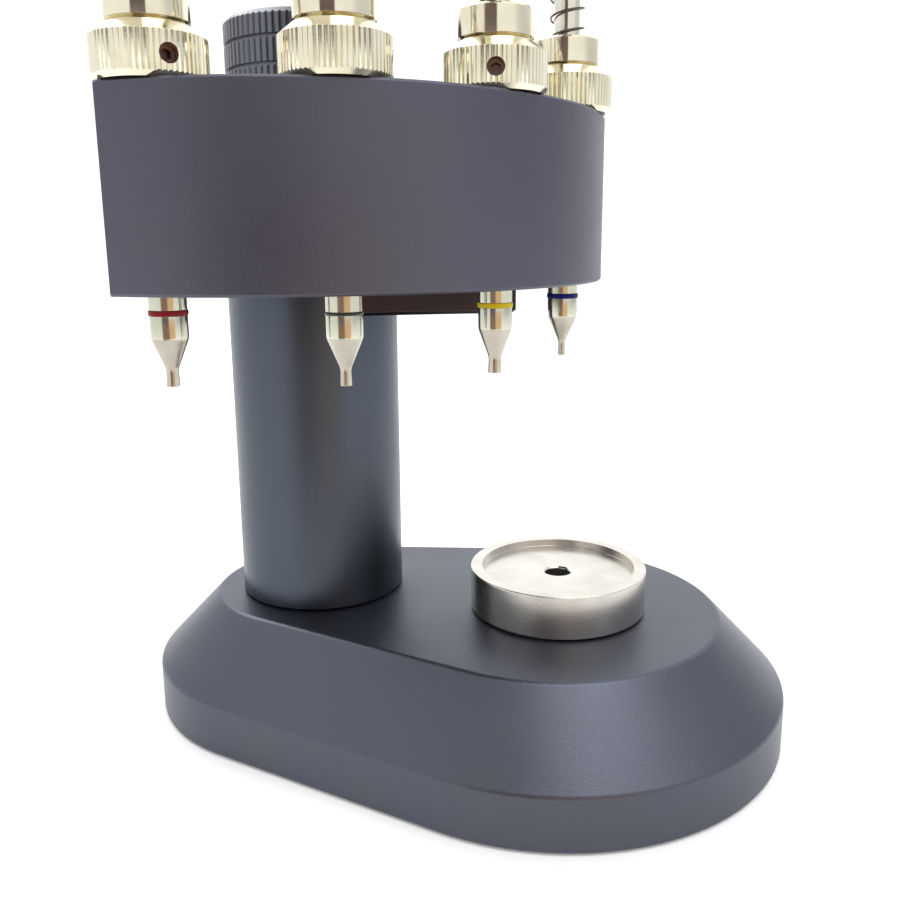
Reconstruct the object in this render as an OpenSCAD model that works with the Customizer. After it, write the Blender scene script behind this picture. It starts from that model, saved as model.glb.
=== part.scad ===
// Four-plunger hand-setting press: a tapered base with a round column, a movement holder,
// and a quarter-round turret that brings one of four sprung plungers over the holder.
// Millimetres. +Z is up, the origin is on the column's axis at the face the press rests on,
// and the movement holder stands on +X.

/* [Base] */
// Overall height of the base, pad included
base_h = 20.7; // [16:0.1:30]
// Radius of the base around the column
base_rear_r = 31.3; // [28:0.1:40]
// Radius of the base around the movement holder
base_front_r = 40.9; // [34:0.1:52]
// How far the rear round stands forward of the column's axis
base_rear_x = 0.6; // [-3:0.1:3]
// How far the front round's centre stands behind the movement holder's axis
base_front_back = 1.6; // [0:0.1:6]
// Height of the upright side wall
base_wall_h = 8.8; // [5:0.1:13]
// Width of the sloping shoulder, seen from above
base_slope_w = 11.2; // [6:0.1:13]
// Small break on the base's long edges
base_edge = 0.5; // [0.2:0.1:1.5]
// Thickness of the non-slip pad under the base
pad_t = 1.5; // [1:0.1:2.5]
// How far the pad stands below the base
pad_proud = 0.3; // [0.2:0.1:0.8]
// Margin between the pad and the base's side wall
pad_margin = 3.5; // [2:0.1:8]

/* [Column] */
// Radius of the column
column_r = 15; // [12:0.1:18]
// Height of the column above the base
column_h = 57.3; // [40:0.1:90]
// Radius of the spigot that centres the column in the base
spigot_r = 10; // [8:0.1:11]
// Depth of that spigot
spigot_l = 6; // [4:0.1:8]
// Radius of the bolt that holds the column from below
bolt_r = 4; // [2.5:0.1:5]
// Length of the bolt above its head
bolt_l = 28; // [20:0.1:36]

/* [Movement holder] */
// Distance from the column's axis to the plunger that is in use
station_r = 45.4; // [38:0.1:60]
// Outer radius of the movement holder
holder_r = 15.45; // [12:0.05:22]
// Height of the movement holder above the base
holder_h = 7.7; // [5:0.1:14]
// Radius of the recess that the movement sits in
seat_r = 13.4; // [9:0.1:14]
// Depth of that recess
seat_depth = 1.3; // [0.8:0.1:3]
// Radius of the hole through the holder's centre
holder_hole_r = 2.2; // [1:0.1:4]
// Radius of the spigot under the holder
holder_spigot_r = 6; // [4.5:0.1:8]
// Depth of that spigot
holder_spigot_l = 5; // [3:0.1:7]

/* [Index arm] */
// Direction of the arm, turned from the movement holder's side towards the back
arm_angle = 26; // [0:1:35]
// Thickness of the arm, which is let into the top of the column
arm_t = 5.5; // [4.5:0.1:7]
// Width of the arm
arm_w = 26; // [18:0.1:27]
// How far short of the plungers' circle the arm ends
arm_short = 10.9; // [9:0.1:14]
// How far the arm reaches back past the column's axis
arm_back = 6.5; // [6:0.1:7]
// Chamfer under the arm
arm_edge = 0.6; // [0.3:0.1:1.5]
// Radius of the detent ball
ball_r = 1; // [0.8:0.05:1.2]
// Radius of the stop pin
stop_pin_r = 2; // [1.5:0.1:2.5]

/* [Turret] */
// Distance from the plungers' axes out to the turret's rim
rim_margin = 5.95; // [5.5:0.05:10]
// Thickness of the turret
turret_t = 26.4; // [18:0.1:34]
// Radius of the turret's hub around the pivot
hub_r = 20; // [16:0.1:24]
// Distance from the end plungers to the turret's end walls, at its rim
end_margin = 4.5; // [4.2:0.1:8]
// Chamfer on the turret's curved edges
turret_edge = 0.3; // [0.2:0.1:1.5]
// Gap between the index arm and the turret
turret_gap = 0.2; // [0.1:0.05:0.5]
// Radius of the pivot post inside the turret
pivot_r = 7; // [5:0.1:8]
// Wall of the bronze bush in the turret
pivot_bush_wall = 2; // [1.5:0.1:2.5]

/* [Plungers] */
// Angle between neighbouring plungers
station_step = 30; // [28:1:30]
// Stroke of a plunger
stroke = 33; // [12:0.5:34]
// Radius of the plunger's guided part
plunger_r = 2.48; // [2:0.01:2.8]
// Radius of the plunger's rod above the turret
rod_r = 2.08; // [1.2:0.01:2.15]
// How far the tip stands below the turret when the plunger is up
tip_drop = 12.3; // [9:0.1:18]
// Wall of the guide bushes
bush_wall = 1.47; // [1.1:0.01:1.6]
// Radii of the four tips' ends: blue, yellow, black, red
pin_r = [0.61, 1.02, 0.78, 0.91]; // [0.4:0.01:1.2]
// Heights of the four colour bands: blue, yellow, black, red
band_h = [0.75, 0.7, 0.4, 0.7]; // [0.3:0.05:1]
// How far the colour bands stand proud of the plungers
band_proud = 0.12; // [0.05:0.01:0.3]
// Length of the tips' straight ends
pin_l = 2.3; // [1:0.1:3]
// Height of the tips' cones
cone_l = 4.2; // [2:0.1:5]
// Outer radius of the push buttons
button_r = 5.25; // [4.6:0.05:7]
// Height of the push buttons
button_h = 12; // [10:0.1:20]

/* [Depth rings] */
// Outer radius of the knurled rings
ring_r = 7.25; // [6.6:0.05:9]
// Height of the knurled part
ring_h = 5.3; // [4:0.1:9]
// Radius of the smooth collar above the knurl
collar_r = 5.25; // [4.8:0.05:6.5]
// Height of that collar
collar_h = 3.8; // [3:0.1:8]
// Height of the cone between the knurl and the collar
ring_cone_h = 2; // [1:0.1:3]
// Number of knurl teeth on a ring
ring_teeth = 64; // [30:1:80]
// Depth of the rings' knurl
ring_knurl = 0.16; // [0.1:0.01:0.4]
// Radius of the set screws
set_screw_r = 1.2; // [0.8:0.05:1.5]

/* [Springs] */
// Radius of the return springs, to the outside of the wire
spring_r = 2.75; // [2.5:0.01:3.2]
// Diameter of the spring wire
wire_d = 0.33; // [0.2:0.01:0.4]
// Number of coils in a return spring
coils = 15; // [8:1:18]

/* [Clamp knob] */
// Radius of the knob
knob_r = 13.4; // [10:0.1:17]
// Height of the knob
knob_h = 15.5; // [12:0.1:24]
// Number of knurl teeth on the knob
knob_teeth = 72; // [40:1:110]
// Depth of the knob's knurl
knob_knurl = 0.4; // [0.1:0.05:0.8]
// Number of grooves around the knob
knob_grooves = 3; // [1:1:4]
// Radius of the knob's thread
knob_thread_r = 4; // [3:0.1:5]

/* [Hidden] */

// Clearances: a pressed or screwed pair in one body, a running fit, and faces that slide past
seat_gap = 0.02;
run_gap = 0.05;
eps = 0.01;
// How far a turned blank stands outside the knurl that is cut from it
knurl_clear = 0.1;

// Colours
anodised = [0.24, 0.25, 0.29];
dark_anodised = [0.17, 0.15, 0.17];
steel = [0.72, 0.71, 0.69];
nickel = [0.86, 0.84, 0.78];
bronze = [0.62, 0.45, 0.24];
black_steel = [0.10, 0.10, 0.11];
band_colours = [[0.05, 0.10, 0.70], [0.90, 0.80, 0.05], [0.04, 0.04, 0.04], [0.60, 0.06, 0.05]];

// Heights, from the resting face up
base_bottom = pad_proud;
wall_top = base_bottom + base_wall_h;
front_x = station_r - base_front_back;
column_top = base_h + column_h;
arm_z = column_top - arm_t;
turret_z = column_top + turret_gap;
turret_top = turret_z + turret_t;
washer_t = 1;
arm_reach = station_r - arm_short;

// Column bolt and its counterbore
bolt_head_r = bolt_r * 1.6;
bolt_head_h = bolt_r * 1.9;
bolt_seat = base_bottom + 2.2 + bolt_head_h;
bolt_end = bolt_seat + bolt_l;

// Pivot post, bush and washers
post_thread_r = 5;
post_thread_l = 14;
pivot_bush_r = pivot_r + pivot_bush_wall;
lower_washer_r = pivot_r + 5;
washer_pocket = washer_t - turret_gap + run_gap;
upper_washer_r = 11;
post_shoulder = turret_top - 0.4;
knob_z = turret_top + washer_t + run_gap;
knob_bore_l = knob_h - 3;
post_end = knob_z + knob_bore_l - 0.6;

// Detent and stop
stop_slot_half = stop_pin_r + 0.25;
stop_pin_at = lower_washer_r + 2.5 + stop_slot_half;
ball_at = stop_pin_at + stop_slot_half + 4.2;
ball_rest = turret_z - run_gap - ball_r;
ball_hole_r = ball_r + 0.06;
plug_h = 0.8;
plug_socket_r = ball_r / 2;
detent_wire_d = 0.2;
dimple_depth = 0.4;
dimple_r = 0.5;
stop_pin_top = turret_z + 3;

// Turret outline: the end walls run from the rim's corners towards the hub
turret_r = station_r + rim_margin;
end_half_angle = asin(end_margin / turret_r);
station_count = 4;
fan_start = -station_step * (station_count - 1) - end_half_angle;
fan_end = end_half_angle;
hub_meet_r = hub_r - 0.4;
hub_meet_angle = acos(hub_meet_r / turret_r);

// Guide bush, plunger, ring and button when the plunger is up
bush_r = plunger_r + run_gap + bush_wall;
ring_z = turret_top + run_gap;
ring_edge = 0.7;
cone_top = ring_z + ring_h + ring_cone_h;
collar_top = cone_top + collar_h;
bush_lip = 1.4;
bush_bottom = turret_z + 0.5;
bush_top = collar_top - 2.2;
shoulder_z = bush_top - bush_lip - run_gap;
tip_z = turret_z - tip_drop;
cone_z = tip_z + pin_l;
cone_end = cone_z + cone_l;
band_z = cone_end + 3.1;
button_z = collar_top + stroke + 0.3;
spring_pocket = 6;
spring_top = button_z + spring_pocket;
rod_end_r = rod_r - 0.35;
rod_end = button_z + button_h - 2.8;

// Direction that each set screw faces: blue, yellow, black, red
screw_angles = [-155, -76, 18, -38];

function station_angle(i) = -station_step * i;
function polar(r, a) = [r * cos(a), r * sin(a)];

// Outline of a straight knurl: one flat-topped tooth and one valley per step
function knurl_outline(r, depth, teeth) = [
    for (k = [0 : teeth - 1])
        for (p = [[0.18, r], [0.62, r], [0.9, r - depth]])
            polar(p[1], 360 * (k + p[0]) / teeth)
];

// Ring of points round the wire of a coil, at the fraction t of its length
function wire_ring(mean_r, height, turns, wire_r, sides, t) = [
    for (s = [0 : sides - 1])
        let (a = 360 * turns * t, b = 360 * s / sides, r = mean_r + wire_r * cos(b))
            [r * cos(a), r * sin(a), wire_r + (height - 2 * wire_r) * t + wire_r * sin(b)]
];

module coil(outer_r, height, turns, wire, steps, sides) {
    rings = turns * steps;
    points = [
        for (i = [0 : rings])
            each wire_ring(outer_r - wire / 2, height, turns, wire / 2, sides, i / rings)
    ];
    side_faces = [
        for (i = [0 : rings - 1])
            for (s = [0 : sides - 1])
                let (n = (s + 1) % sides)
                    [i * sides + s, (i + 1) * sides + s, (i + 1) * sides + n, i * sides + n]
    ];
    start_face = [for (s = [0 : sides - 1]) s];
    end_face = [for (s = [sides - 1 : -1 : 0]) rings * sides + s];
    polyhedron(points = points, faces = concat(side_faces, [start_face, end_face]), convexity = 10);
}

module at_station(i) {
    rotate([0, 0, station_angle(i)]) translate([station_r, 0, 0]) children();
}

module on_arm(at) {
    rotate([0, 0, arm_angle]) translate([at, 0, 0]) children();
}

module tube(outer, inner, from, to) {
    translate([0, 0, from]) difference() {
        cylinder(r = outer, h = to - from, $fn = 96);
        translate([0, 0, -eps]) cylinder(r = inner, h = to - from + 2 * eps, $fn = 96);
    }
}

module bore(r, from, to) {
    translate([0, 0, from]) cylinder(r = r, h = to - from, $fn = 96);
}

// One end of the base: upright wall, sloping shoulder, and a small break on each edge
module base_round(r) {
    slope = base_slope_w / (base_h - wall_top);
    rotate_extrude($fn = 72) polygon([
        [0, base_bottom],
        [r - base_edge, base_bottom],
        [r, base_bottom + base_edge],
        [r, wall_top - base_edge],
        [r - slope * base_edge, wall_top + base_edge],
        [r - base_slope_w + slope * base_edge, base_h - base_edge],
        [r - base_slope_w - base_edge, base_h],
        [0, base_h]
    ]);
}

module egg(margin, from, to) {
    hull() {
        translate([base_rear_x, 0, from]) cylinder(r = base_rear_r - margin, h = to - from, $fn = 64);
        translate([front_x, 0, from]) cylinder(r = base_front_r - margin, h = to - from, $fn = 64);
    }
}

module base() {
    color(anodised) difference() {
        hull() {
            translate([base_rear_x, 0, 0]) base_round(base_rear_r);
            translate([front_x, 0, 0]) base_round(base_front_r);
        }
        egg(pad_margin - 0.1, -1, pad_t);
        bore(bolt_head_r + 0.4, 0, bolt_seat);
        bore(bolt_r + 0.2, 0, base_h + 1);
        bore(spigot_r + seat_gap, base_h - spigot_l - 0.3, base_h + 1);
        translate([station_r, 0, 0])
            bore(holder_spigot_r + run_gap, base_h - holder_spigot_l - 0.4, base_h + 1);
    }
}

module base_pad() {
    color([0.07, 0.07, 0.07]) egg(pad_margin, 0, pad_t);
}

module column() {
    foot = 0.4;
    color(anodised) difference() {
        rotate_extrude($fn = 128) polygon([
            [0, base_h - spigot_l],
            [spigot_r, base_h - spigot_l],
            [spigot_r, base_h],
            [column_r - foot, base_h],
            [column_r, base_h + foot],
            [column_r, column_top - foot],
            [column_r - foot, column_top],
            [0, column_top]
        ]);
        bore(bolt_r + seat_gap, base_h - spigot_l - 1, bolt_end + 2);
        bore(post_thread_r + seat_gap, arm_z - post_thread_l - 1, column_top + 1);
        on_arm(-arm_back - seat_gap) translate([0, -arm_w / 2 - seat_gap, arm_z])
            cube([column_r * 3, arm_w + 2 * seat_gap, arm_t + 1]);
    }
}

module column_bolt() {
    color(black_steel) difference() {
        union() {
            bore(bolt_head_r, bolt_seat - bolt_head_h, bolt_seat);
            bore(bolt_r, bolt_seat - eps, bolt_end);
        }
        translate([0, 0, bolt_seat - bolt_head_h - 1])
            cylinder(r = bolt_r * 0.87, h = bolt_r + 1, $fn = 6);
    }
}

module index_arm() {
    half = arm_w / 2;
    length = arm_reach + arm_back;
    color(dark_anodised) difference() {
        on_arm(-arm_back) translate([0, 0, arm_z]) intersection() {
            rotate([90, 0, 90]) linear_extrude(length) polygon([
                [-half + arm_edge, 0],
                [half - arm_edge, 0],
                [half, arm_edge],
                [half, arm_t],
                [-half, arm_t],
                [-half, arm_edge]
            ]);
            translate([0, arm_w, 0]) rotate([90, 0, 0]) linear_extrude(arm_w * 2) polygon([
                [0, 0],
                [length - arm_edge, 0],
                [length, arm_edge],
                [length, arm_t],
                [0, arm_t]
            ]);
        }
        bore(post_thread_r + seat_gap, arm_z - 1, column_top + 1);
        on_arm(ball_at) bore(ball_hole_r, arm_z - 1, column_top + 1);
        on_arm(stop_pin_at) bore(stop_pin_r + seat_gap, arm_z + 1, column_top + 1);
    }
}

module pivot_post() {
    color(steel) rotate_extrude($fn = 96) polygon([
        [0, arm_z - post_thread_l],
        [post_thread_r, arm_z - post_thread_l],
        [post_thread_r, column_top],
        [pivot_r, column_top],
        [pivot_r, post_shoulder - 0.4],
        [pivot_r - 0.4, post_shoulder],
        [knob_thread_r, post_shoulder],
        [knob_thread_r, post_end - 0.6],
        [knob_thread_r - 0.6, post_end],
        [0, post_end]
    ]);
}

module stop_pin() {
    color(steel) on_arm(stop_pin_at) bore(stop_pin_r, arm_z + 1, stop_pin_top);
}

module detent_ball() {
    color(steel) on_arm(ball_at) translate([0, 0, ball_rest]) sphere(r = ball_r, $fn = 64);
}

module detent_plug() {
    color(black_steel) on_arm(ball_at) difference() {
        bore(ball_hole_r - seat_gap, arm_z, arm_z + plug_h);
        translate([0, 0, arm_z - 1]) cylinder(r = plug_socket_r, h = 1 + plug_h / 2, $fn = 6);
    }
}

module detent_spring() {
    from = arm_z + plug_h;
    color(steel) on_arm(ball_at) translate([0, 0, from])
        coil(ball_r * 0.8, ball_rest - ball_r - from, 4, detent_wire_d, 12, 5);
}

module lower_washer() {
    color(bronze) tube(lower_washer_r, pivot_r + run_gap, column_top, column_top + washer_t);
}

module movement_holder() {
    foot = 0.4;
    rim = 0.25;
    mouth = 0.3;
    top = base_h + holder_h;
    floor_z = top - seat_depth;
    color(steel) translate([station_r, 0, 0]) rotate_extrude($fn = 128) polygon([
        [holder_hole_r, base_h - holder_spigot_l],
        [holder_spigot_r - foot, base_h - holder_spigot_l],
        [holder_spigot_r, base_h - holder_spigot_l + foot],
        [holder_spigot_r, base_h + run_gap],
        [holder_r - foot, base_h + run_gap],
        [holder_r, base_h + foot + run_gap],
        [holder_r, top - rim],
        [holder_r - rim, top],
        [seat_r, top],
        [seat_r, floor_z],
        [holder_hole_r + mouth, floor_z],
        [holder_hole_r, floor_z - mouth]
    ]);
}

module turret_disc() {
    rotate_extrude($fn = 200) polygon([
        [0, turret_z],
        [turret_r - turret_edge, turret_z],
        [turret_r, turret_z + turret_edge],
        [turret_r, turret_top - turret_edge],
        [turret_r - turret_edge, turret_top],
        [0, turret_top]
    ]);
}

module turret_fan() {
    out = turret_r * 1.6;
    fan_step = (fan_end - fan_start) / 3;
    rim_corners = [for (k = [0 : 3]) polar(out, fan_start + fan_step * k)];
    translate([0, 0, turret_z - 1]) linear_extrude(turret_t + 2) polygon(concat(
        [polar(hub_meet_r, fan_start - hub_meet_angle), polar(turret_r, fan_start)],
        rim_corners,
        [polar(turret_r, fan_end), polar(hub_meet_r, fan_end + hub_meet_angle)]
    ));
}

module turret_hub() {
    rotate_extrude($fn = 128) polygon([
        [0, turret_z],
        [hub_r - turret_edge, turret_z],
        [hub_r, turret_z + turret_edge],
        [hub_r, turret_top - turret_edge],
        [hub_r - turret_edge, turret_top],
        [0, turret_top]
    ]);
}

// Curved slot under the turret that the stop pin runs in, for a pin that stands on +X
module stop_slot() {
    low = turret_z - 1;
    high = stop_pin_top + 0.4;
    far = stop_pin_at * 2;
    turn = station_step * (station_count - 1);
    intersection() {
        tube(stop_pin_at + stop_slot_half, stop_pin_at - stop_slot_half, low, high);
        translate([0, 0, low - 1]) linear_extrude(high - low + 2) polygon([
            [0, 0],
            polar(far, -turn),
            polar(far, -turn * 2 / 3),
            polar(far, -turn / 3),
            [far, 0]
        ]);
    }
    for (a = [0, -turn])
        rotate([0, 0, a]) translate([stop_pin_at, 0, 0]) bore(stop_slot_half, low, high);
}

module turret() {
    color(anodised) difference() {
        union() {
            intersection() {
                turret_disc();
                turret_fan();
            }
            turret_hub();
        }
        bore(pivot_bush_r + seat_gap, turret_z - 1, turret_top + 1);
        bore(lower_washer_r + 0.4, turret_z - 1, turret_z + washer_pocket);
        on_arm(0) stop_slot();
        for (i = [0 : station_count - 1]) {
            at_station(i) bore(bush_r + seat_gap, turret_z - 1, turret_top + 1);
            rotate([0, 0, station_angle(i)]) on_arm(ball_at) translate([0, 0, turret_z - dimple_depth])
                cylinder(r1 = dimple_r * 2, r2 = eps, h = dimple_depth * 2, $fn = 48);
        }
    }
}

module pivot_bush() {
    color(bronze)
        tube(pivot_bush_r, pivot_r + run_gap, turret_z + washer_pocket, turret_top - 0.3);
}

module upper_washer() {
    color(steel) tube(upper_washer_r, knob_thread_r + 0.3, turret_top, turret_top + washer_t);
}

module clamp_knob() {
    edge = 0.9;
    groove = 0.5;
    groove_w = 0.6;
    pitch = knob_h / (knob_grooves + 0.7);
    top = knob_z + knob_h;
    first = top - knob_grooves * pitch;
    land_starts = concat([knob_z], [for (k = [0 : knob_grooves - 1]) first + k * pitch + groove_w / 2]);
    land_ends = concat([for (k = [0 : knob_grooves - 1]) first + k * pitch - groove_w / 2], [top]);
    color(dark_anodised) difference() {
        union() {
            bore(knob_r - knob_knurl - groove, knob_z, top);
            intersection() {
                rotate_extrude($fn = 128) polygon([
                    [0, knob_z],
                    [knob_r - edge, knob_z],
                    [knob_r + knurl_clear, knob_z + edge + knurl_clear],
                    [knob_r + knurl_clear, top - edge - knurl_clear],
                    [knob_r - edge, top],
                    [0, top]
                ]);
                for (k = [0 : knob_grooves])
                    translate([0, 0, land_starts[k]]) linear_extrude(land_ends[k] - land_starts[k])
                        polygon(knurl_outline(knob_r, knob_knurl, knob_teeth));
            }
        }
        bore(knob_thread_r + run_gap, knob_z - 1, knob_z + knob_bore_l);
    }
}

module guide_bush(i) {
    color(steel) at_station(i) difference() {
        bore(bush_r, bush_bottom, bush_top);
        bore(plunger_r + run_gap, bush_bottom - 1, bush_top - bush_lip);
        bore(rod_r + run_gap, bush_bottom - 1, bush_top + 1);
    }
}

module depth_ring(i) {
    knurl_top = ring_z + ring_h;
    edge = 0.3;
    neck_r = collar_r - 0.45;
    cone_slope = ring_cone_h / (ring_r - neck_r);
    color(nickel) at_station(i) difference() {
        union() {
            intersection() {
                rotate_extrude($fn = 96) polygon([
                    [0, ring_z],
                    [ring_r - ring_edge, ring_z],
                    [ring_r + knurl_clear, ring_z + ring_edge + knurl_clear],
                    [ring_r + knurl_clear, knurl_top - knurl_clear * cone_slope],
                    [neck_r, cone_top],
                    [0, cone_top]
                ]);
                translate([0, 0, ring_z - 1])
                    linear_extrude(cone_top - ring_z + 2)
                        polygon(knurl_outline(ring_r, ring_knurl, ring_teeth));
            }
            rotate_extrude($fn = 96) polygon([
                [0, cone_top],
                [collar_r, cone_top],
                [collar_r, collar_top - edge],
                [collar_r - edge, collar_top],
                [0, collar_top]
            ]);
        }
        bore(bush_r + run_gap, ring_z - 1, bush_top + 0.1);
        bore(rod_r + 0.15, ring_z - 1, collar_top + 1);
        rotate([0, 0, screw_angles[i] - station_angle(i)]) translate([0, 0, ring_z + ring_h / 2])
            rotate([0, 90, 0]) cylinder(r = set_screw_r + seat_gap, h = ring_r + 1, $fn = 48);
    }
}

module set_screw(i) {
    start = bush_r + run_gap + 0.05;
    length = (ring_r - bush_r) * 0.55;
    color(black_steel) at_station(i)
        rotate([0, 0, screw_angles[i] - station_angle(i)]) translate([start, 0, ring_z + ring_h / 2])
            rotate([0, 90, 0]) difference() {
                cylinder(r = set_screw_r, h = length, $fn = 48);
                translate([0, 0, length - 0.9]) cylinder(r = set_screw_r * 0.6, h = 1, $fn = 6);
            }
}

module rod(i) {
    color(steel) at_station(i) rotate_extrude($fn = 96) polygon([
        [0, band_z + band_h[i]],
        [plunger_r, band_z + band_h[i]],
        [plunger_r, shoulder_z - 0.2],
        [plunger_r - 0.2, shoulder_z],
        [rod_r, shoulder_z],
        [rod_r, spring_top],
        [rod_end_r, spring_top],
        [rod_end_r, rod_end],
        [0, rod_end]
    ]);
}

module tip(i) {
    hole_r = pin_r[i] * 0.55;
    hole_l = 1.2;
    neck = pin_r[i] * 0.9;
    color(steel) at_station(i) rotate_extrude($fn = 96) polygon([
        [hole_r, tip_z],
        [pin_r[i], tip_z],
        [neck, cone_z],
        [plunger_r - 0.05, cone_end],
        [plunger_r, cone_end + 0.1],
        [plunger_r, band_z],
        [plunger_r - 0.4, band_z],
        [plunger_r - 0.4, band_z + band_h[i]],
        [0, band_z + band_h[i]],
        [0, tip_z + hole_l],
        [hole_r, tip_z + hole_l]
    ]);
}

module band(i) {
    color(band_colours[i]) at_station(i)
        tube(plunger_r + band_proud, plunger_r - 0.4 + seat_gap, band_z, band_z + band_h[i]);
}

module return_spring(i) {
    color(black_steel) at_station(i) translate([0, 0, collar_top])
        coil(spring_r, spring_top - collar_top, coils, wire_d, 14, 5);
}

module button(i) {
    edge = 1;
    top = button_z + button_h;
    color(nickel) at_station(i) rotate_extrude($fn = 96) polygon([
        [spring_r + 0.35, button_z],
        [button_r - 0.3, button_z],
        [button_r, button_z + 0.3],
        [button_r, top - edge],
        [button_r - 0.3 * edge, top - 0.3 * edge],
        [button_r - edge, top],
        [0, top],
        [0, rod_end + 0.1],
        [rod_end_r + seat_gap, rod_end + 0.1],
        [rod_end_r + seat_gap, spring_top],
        [spring_r + 0.35, spring_top]
    ]);
}

base();
base_pad();
column();
column_bolt();
index_arm();
pivot_post();
stop_pin();
detent_ball();
detent_spring();
detent_plug();
lower_washer();
movement_holder();
turret();
pivot_bush();
upper_washer();
clamp_knob();
guide_bush(0);  // bush_blue
guide_bush(1);  // bush_yellow
guide_bush(2);  // bush_black
guide_bush(3);  // bush_red
depth_ring(0);  // ring_blue
depth_ring(1);  // ring_yellow
depth_ring(2);  // ring_black
depth_ring(3);  // ring_red
set_screw(0);  // set_screw_blue
set_screw(1);  // set_screw_yellow
set_screw(2);  // set_screw_black
set_screw(3);  // set_screw_red
rod(0);  // rod_blue
rod(1);  // rod_yellow
rod(2);  // rod_black
rod(3);  // rod_red
tip(0);  // tip_blue
tip(1);  // tip_yellow
tip(2);  // tip_black
tip(3);  // tip_red
band(0);  // band_blue
band(1);  // band_yellow
band(2);  // band_black
band(3);  // band_red
return_spring(0);  // spring_blue
return_spring(1);  // spring_yellow
return_spring(2);  // spring_black
return_spring(3);  // spring_red
button(0);  // button_blue
button(1);  // button_yellow
button(2);  // button_black
button(3);  // button_red
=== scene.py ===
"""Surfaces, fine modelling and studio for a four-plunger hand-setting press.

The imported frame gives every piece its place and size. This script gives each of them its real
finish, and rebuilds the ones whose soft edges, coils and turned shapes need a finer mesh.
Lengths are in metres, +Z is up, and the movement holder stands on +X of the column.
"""
import logging
import math
from collections.abc import Sequence
from dataclasses import dataclass, field
from enum import Enum

import bmesh
import bpy
from mathutils import Matrix, Vector


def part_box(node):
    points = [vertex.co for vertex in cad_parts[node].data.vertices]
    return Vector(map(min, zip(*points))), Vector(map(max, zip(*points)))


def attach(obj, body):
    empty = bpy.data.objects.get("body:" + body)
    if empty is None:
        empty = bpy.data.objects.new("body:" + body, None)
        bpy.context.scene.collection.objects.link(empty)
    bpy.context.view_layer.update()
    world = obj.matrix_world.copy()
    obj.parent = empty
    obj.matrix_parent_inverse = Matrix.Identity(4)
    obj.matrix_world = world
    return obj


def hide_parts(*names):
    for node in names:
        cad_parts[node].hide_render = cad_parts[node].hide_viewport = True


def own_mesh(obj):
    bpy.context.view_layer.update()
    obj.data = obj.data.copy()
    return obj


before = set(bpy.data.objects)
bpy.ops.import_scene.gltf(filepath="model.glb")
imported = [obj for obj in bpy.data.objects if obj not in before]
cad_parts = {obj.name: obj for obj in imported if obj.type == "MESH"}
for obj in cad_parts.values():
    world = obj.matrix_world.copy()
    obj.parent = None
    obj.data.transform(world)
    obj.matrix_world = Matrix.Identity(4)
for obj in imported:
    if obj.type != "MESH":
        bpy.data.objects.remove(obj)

log = logging.getLogger("hand_setting_press")

MM = 0.001
Colour = tuple[float, float, float]
Material = bpy.types.Material
Sheet = bmesh.types.BMesh
Socket = bpy.types.NodeSocket
CORNER_STEPS = 4
SOFT_ANGLE = math.radians(32)
MERGE = 1e-7


def axis_of(node: str, height: float = 0.0) -> Vector:
    """Finds the upright axis of one of the frame's nodes.

    Args:
        node: Name of the node.
        height: Height of the point.

    Returns:
        The point on the axis.
    """
    low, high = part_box(node)
    return Vector(((low.x + high.x) / 2, (low.y + high.y) / 2, height))


class Station(Enum):
    """The four plunger stations, in the order in which they stand round the turret."""

    BLUE = "blue"
    YELLOW = "yellow"
    BLACK = "black"
    RED = "red"

    def node(self, kind: str) -> str:
        """Names this station's piece of one kind.

        Args:
            kind: Kind of piece, body or joint.

        Returns:
            The name.
        """
        return f"{kind}_{self.value}"


# ---- Node graphs ----


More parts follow.
